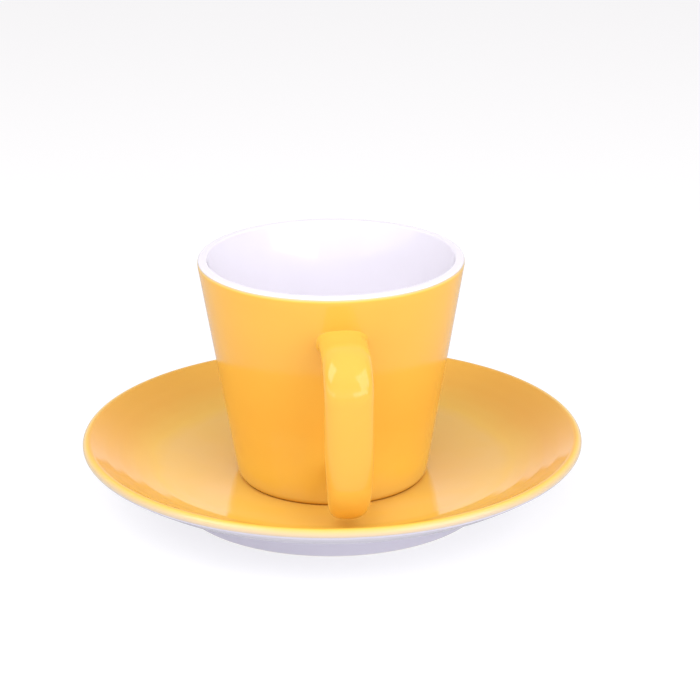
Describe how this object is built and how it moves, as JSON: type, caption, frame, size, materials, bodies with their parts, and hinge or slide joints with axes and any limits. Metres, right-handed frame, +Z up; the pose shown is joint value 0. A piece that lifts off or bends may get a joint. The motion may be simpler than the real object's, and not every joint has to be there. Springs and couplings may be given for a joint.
{
  "type": "espresso cup with saucer",
  "caption": "Straight-sided porcelain espresso cup with a strap handle, white inside and yellow outside, standing in the well of a yellow saucer with a white underside.",
  "frame": {"origin": "on the common axis of cup and saucer, in the plane of the saucer's foot ring", "axes": "+Z up along the axis, +X toward the cup's handle, +Y completes a right-handed frame"},
  "size_m": [0.12, 0.12, 0.0604],
  "materials": {
    "white_porcelain": "clear gloss glaze over white porcelain",
    "yellow_glaze": "warm yellow gloss glaze"
  },
  "bodies": {
    "saucer": {"saucer_body": "white_porcelain", "saucer_coat": "yellow_glaze"},
    "cup": {"cup_body": "white_porcelain", "cup_coat": "yellow_glaze", "handle": "yellow_glaze"}
  },
  "joints": [
    {"name": "cup_lift", "type": "slide", "parent": "saucer", "child": "cup", "axis": [0, 0, 1], "range_m": [0, 0.12]}
  ]
}
